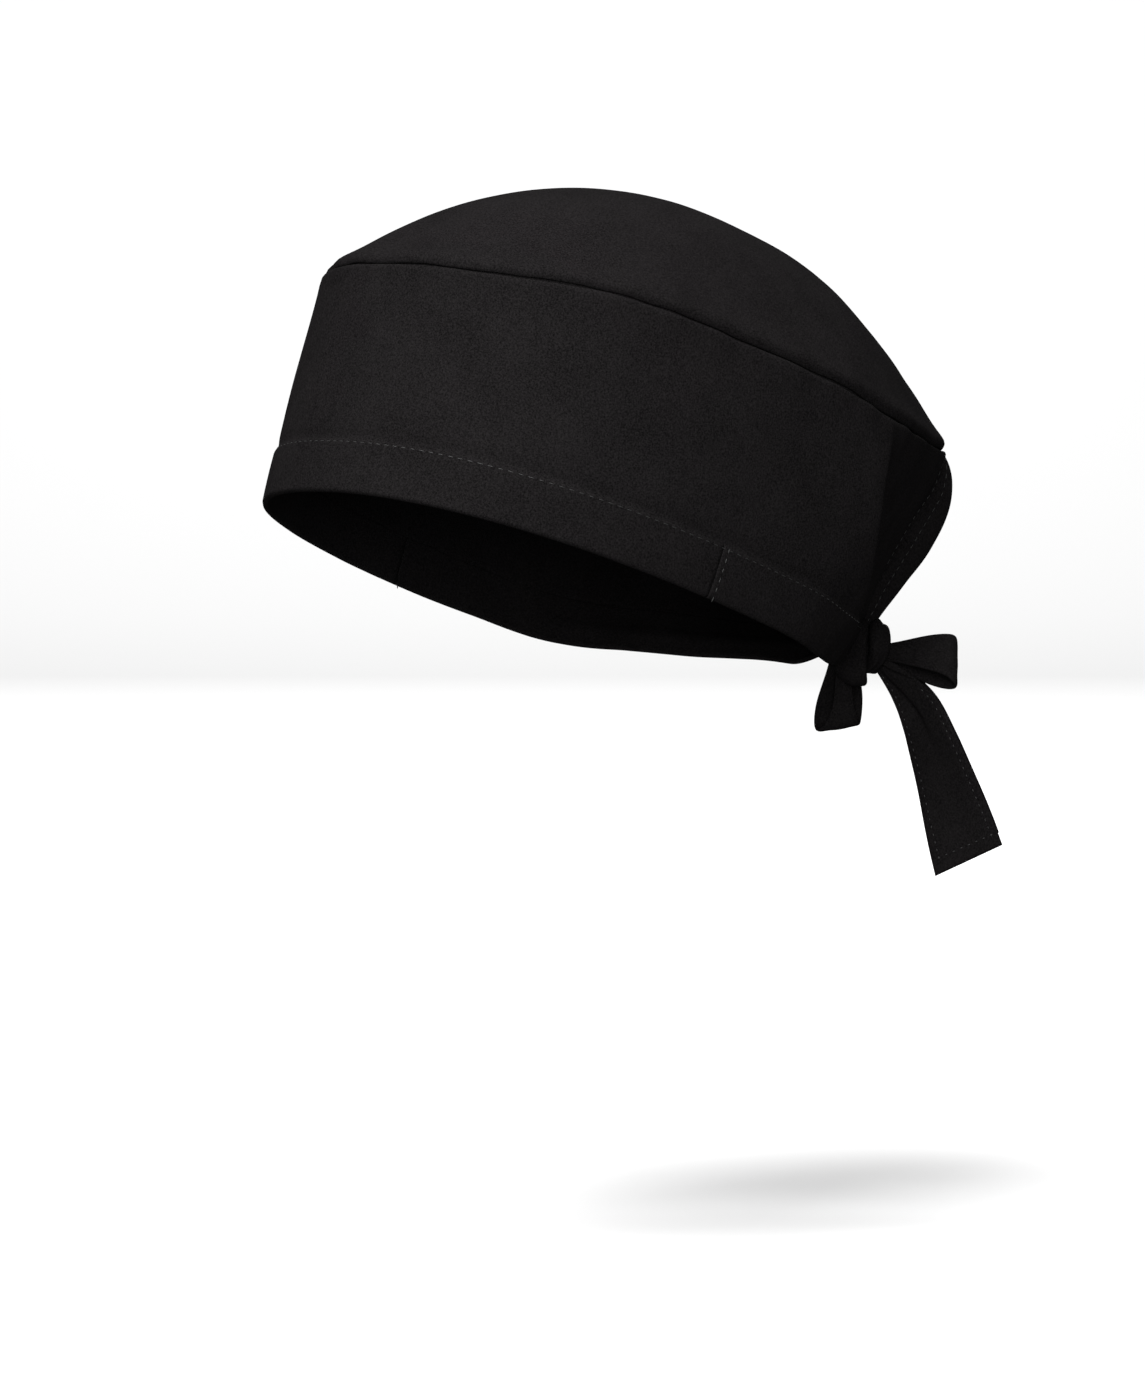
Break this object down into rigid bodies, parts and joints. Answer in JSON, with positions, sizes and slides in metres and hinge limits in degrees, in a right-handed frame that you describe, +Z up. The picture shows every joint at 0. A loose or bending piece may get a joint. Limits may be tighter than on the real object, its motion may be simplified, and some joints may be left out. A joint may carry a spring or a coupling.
{
  "type": "scrub cap",
  "caption": "black cloth scrub cap in its worn shape: domed crown, deep side panel, stitched brow hem, and ties knotted in a bow at the nape",
  "frame": {"origin": "centre of the head opening, where the cap sits on a head", "axes": "+Z up, front of the cap towards -Y, bow at the nape towards +Y, wearer's left towards +X"},
  "size_m": [0.1631, 0.2644, 0.2212],
  "materials": {
    "black_cloth": "matte woven"
  },
  "bodies": {
    "root": {"crown_panel": "black_cloth", "side_panel": "black_cloth", "front_hem": "black_cloth", "left_tie_band": "black_cloth", "right_tie_band": "black_cloth", "knot": "black_cloth", "left_loop": "black_cloth", "right_loop": "black_cloth", "left_tail": "black_cloth", "right_tail": "black_cloth"}
  },
  "joints": []
}
